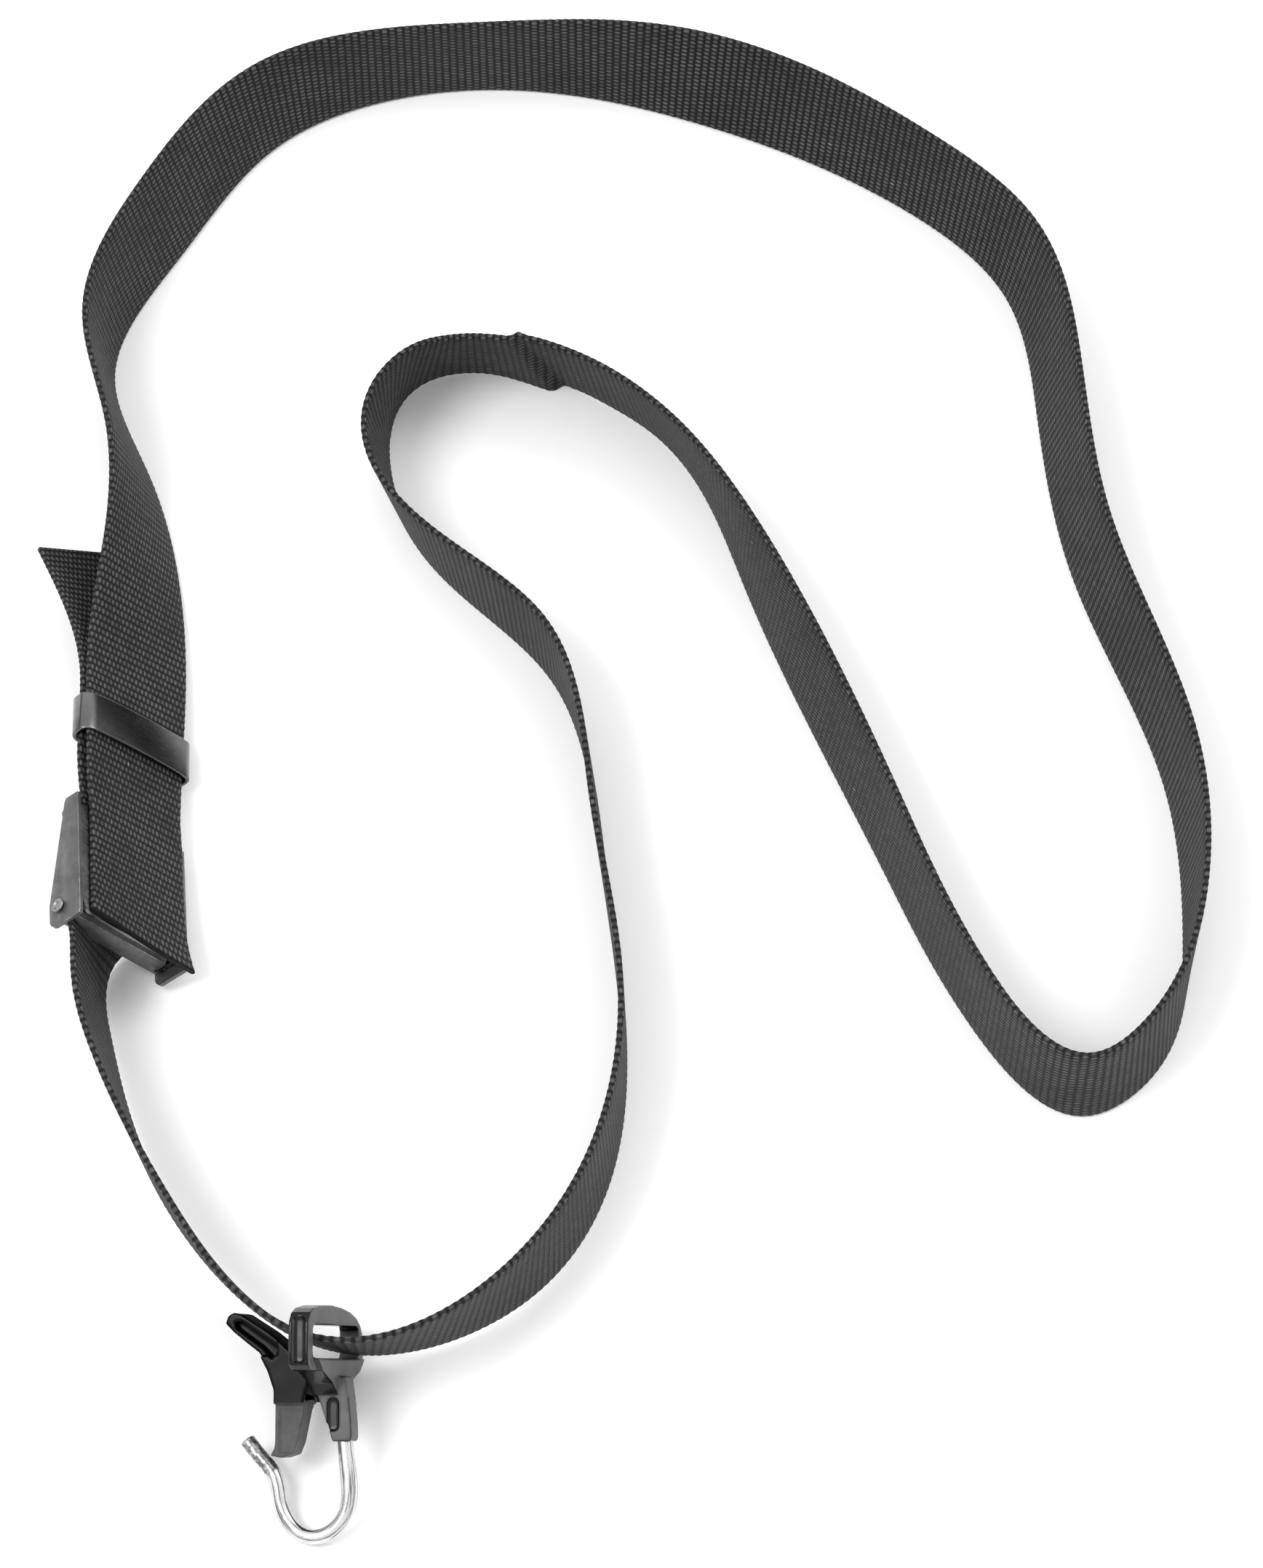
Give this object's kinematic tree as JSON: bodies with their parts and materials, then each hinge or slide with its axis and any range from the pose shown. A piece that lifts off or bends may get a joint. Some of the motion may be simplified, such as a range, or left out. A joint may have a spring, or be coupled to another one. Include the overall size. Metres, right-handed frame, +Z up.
{
  "type": "saxophone neck strap",
  "caption": "Adjustable neck strap of black woven webbing with a lever buckle, a sliding keeper and a plastic-bodied snap hook with a sprung gate.",
  "frame": {"origin": "centre of the bounding box at the table it lies on", "axes": "+Z up from the table, +Y from the hook towards the far end of the neck loop, +X from the buckle side to the open side"},
  "size_m": [0.2318, 0.3361, 0.0339],
  "materials": {
    "webbing": "ribbed black woven nylon",
    "keeper": "satin black",
    "buckle_plate": "dark plated steel",
    "buckle_lever": "satin dark grey",
    "buckle_pin": "dull steel rivet",
    "hook_body": "glossy black moulding",
    "hook_wire": "bright plated wire",
    "gate_lever": "black moulding",
    "gate_pin": "steel pin",
    "gate_spring": "spring wire"
  },
  "bodies": {
    "strap": {"webbing": "webbing", "buckle_plate": "buckle_plate", "buckle_pin": "buckle_pin"},
    "keeper_loop": {"keeper": "keeper"},
    "lever": {"buckle_lever": "buckle_lever"},
    "hook": {"hook_body": "hook_body", "hook_wire": "hook_wire", "gate_pin": "gate_pin", "gate_spring": "gate_spring"},
    "gate": {"gate_lever": "gate_lever"}
  },
  "joints": [
    {"name": "keeper_slide", "type": "slide", "parent": "strap", "child": "keeper_loop", "axis": [-0.0392, 0.9949, -0.0934], "range_m": [-0.001, 0.005]},
    {"name": "lever_hinge", "type": "hinge", "parent": "strap", "child": "lever", "pos_m": [-0.0965, -0.0484, 0.0138], "axis": [-0.6555, 0.0444, 0.7539], "range_deg": [0, 90]},
    {"name": "hook_swing", "type": "hinge", "parent": "strap", "child": "hook", "pos_m": [-0.0529, -0.1344, 0.0167], "axis": [-0.2407, -0.3811, 0.8926], "range_deg": [-1.5, 8]},
    {"name": "gate_hinge", "type": "hinge", "parent": "hook", "child": "gate", "pos_m": [-0.0575, -0.1406, 0.0128], "axis": [-0.2407, -0.3811, 0.8926], "range_deg": [0, 13], "stiffness_Nm_per_rad": 0.01, "springref_deg": -20.05}
  ]
}
